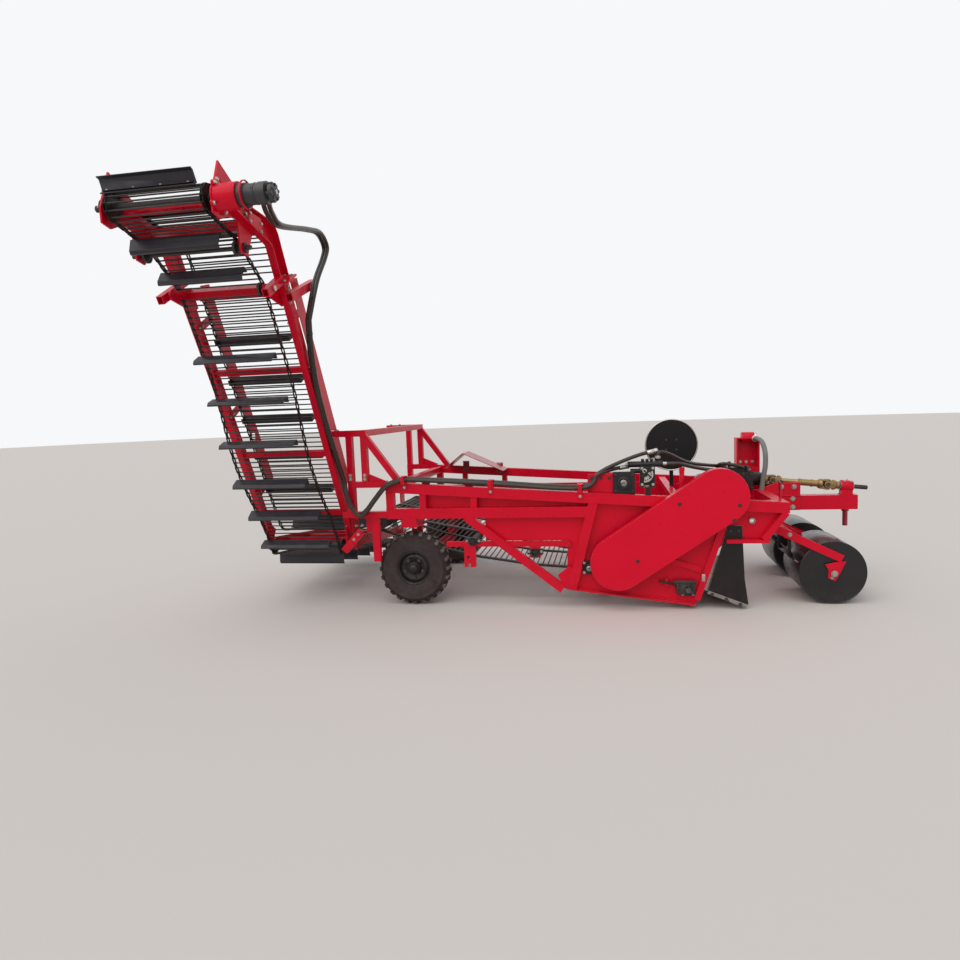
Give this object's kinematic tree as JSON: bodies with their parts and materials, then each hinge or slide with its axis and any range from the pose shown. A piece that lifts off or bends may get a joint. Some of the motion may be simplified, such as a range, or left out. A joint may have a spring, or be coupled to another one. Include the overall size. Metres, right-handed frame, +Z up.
{
  "type": "potato digger",
  "caption": "Trailed potato digger with rod webs, gauge rollers, two road wheels, a drawbar with drive shaft, and a tall side-discharge rod elevator with a folding head.",
  "frame": {"origin": "on the ground below the middle of the machine's outline", "axes": "+X forwards to the drawbar, +Z up, -Y to the side on which the elevator unloads"},
  "size_m": [5.0248, 3.4054, 3.0085],
  "materials": {
    "red_paint": "gloss",
    "red_sheet": "gloss",
    "dark_red_paint": "satin",
    "gold_zinc": "satin",
    "black_paint": "satin",
    "tyre": "matte",
    "black_steel": "satin",
    "worn_steel": "worn",
    "web_steel": "satin",
    "board_rubber": "matte",
    "hose_rubber": "satin",
    "grey_hose": "matte"
  },
  "bodies": {
    "chassis": {"frame_side_near": "red_paint", "frame_side_far": "red_paint", "frame_cross": "red_paint", "side_panel_near": "red_sheet", "side_panel_far": "red_sheet", "rear_tower": "red_paint", "deflector": "dark_red_paint", "headstock": "red_paint", "drawbar": "red_paint", "hitch_pin": "dark_red_paint", "pto_bearing": "red_paint", "gearbox": "black_paint", "axle": "red_paint", "roller_pivot": "red_paint", "depth_bars": "dark_red_paint", "share": "worn_steel", "side_blades": "black_steel", "web_front": "web_steel", "web_rear": "web_steel", "web_shafts": "worn_steel", "web_bearings": "black_paint", "chain_guard": "red_sheet", "cover_disc": "black_steel", "mast": "red_paint", "mast_lever": "grey_hose", "valve_block": "black_paint", "drive_unit": "black_paint", "elevator_leg": "red_paint", "elevator_trough": "red_paint", "elevator_web": "web_steel", "elevator_boards": "board_rubber", "hose_leg": "hose_rubber", "hose_loop": "hose_rubber", "hose_clips": "red_paint"},
    "wheel_near": {"tyre_near": "tyre", "rim_near": "black_paint"},
    "wheel_far": {"tyre_far": "tyre", "rim_far": "black_paint"},
    "rollers": {"roller_frame": "red_paint"},
    "roller_near": {"gauge_roller_near": "black_steel"},
    "roller_far": {"gauge_roller_far": "black_steel"},
    "drive_line": {"pto_shaft": "gold_zinc"},
    "head": {"elevator_head": "red_paint", "head_web": "web_steel", "head_boards": "board_rubber", "head_motor": "black_paint"}
  },
  "joints": [
    {"name": "wheel_near_spin", "type": "hinge", "parent": "chassis", "child": "wheel_near", "pos_m": [-1.12941, 0.0531, 0.295], "axis": [0, 1, 0], "continuous": true},
    {"name": "wheel_far_spin", "type": "hinge", "parent": "chassis", "child": "wheel_far", "pos_m": [-1.12941, 1.5621, 0.295], "axis": [0, 1, 0], "continuous": true},
    {"name": "roller_depth", "type": "hinge", "parent": "chassis", "child": "rollers", "pos_m": [1.63559, 0.8076, 0.585], "axis": [0, 1, 0], "range_deg": [-12, 6]},
    {"name": "roller_near_spin", "type": "hinge", "parent": "rollers", "child": "roller_near", "pos_m": [2.06259, 0.3826, 0.2385], "axis": [0, 1, 0], "continuous": true},
    {"name": "roller_far_spin", "type": "hinge", "parent": "rollers", "child": "roller_far", "pos_m": [2.06259, 1.2326, 0.2385], "axis": [0, 1, 0], "continuous": true},
    {"name": "drive_shaft_spin", "type": "hinge", "parent": "chassis", "child": "drive_line", "pos_m": [2.51059, 0.8076, 0.795], "axis": [0.9945, 0, -0.1045], "continuous": true},
    {"name": "head_fold", "type": "hinge", "parent": "chassis", "child": "head", "pos_m": [-2.07141, -1.052, 2.37599], "axis": [1, 0, 0], "range_deg": [0, 80]}
  ]
}
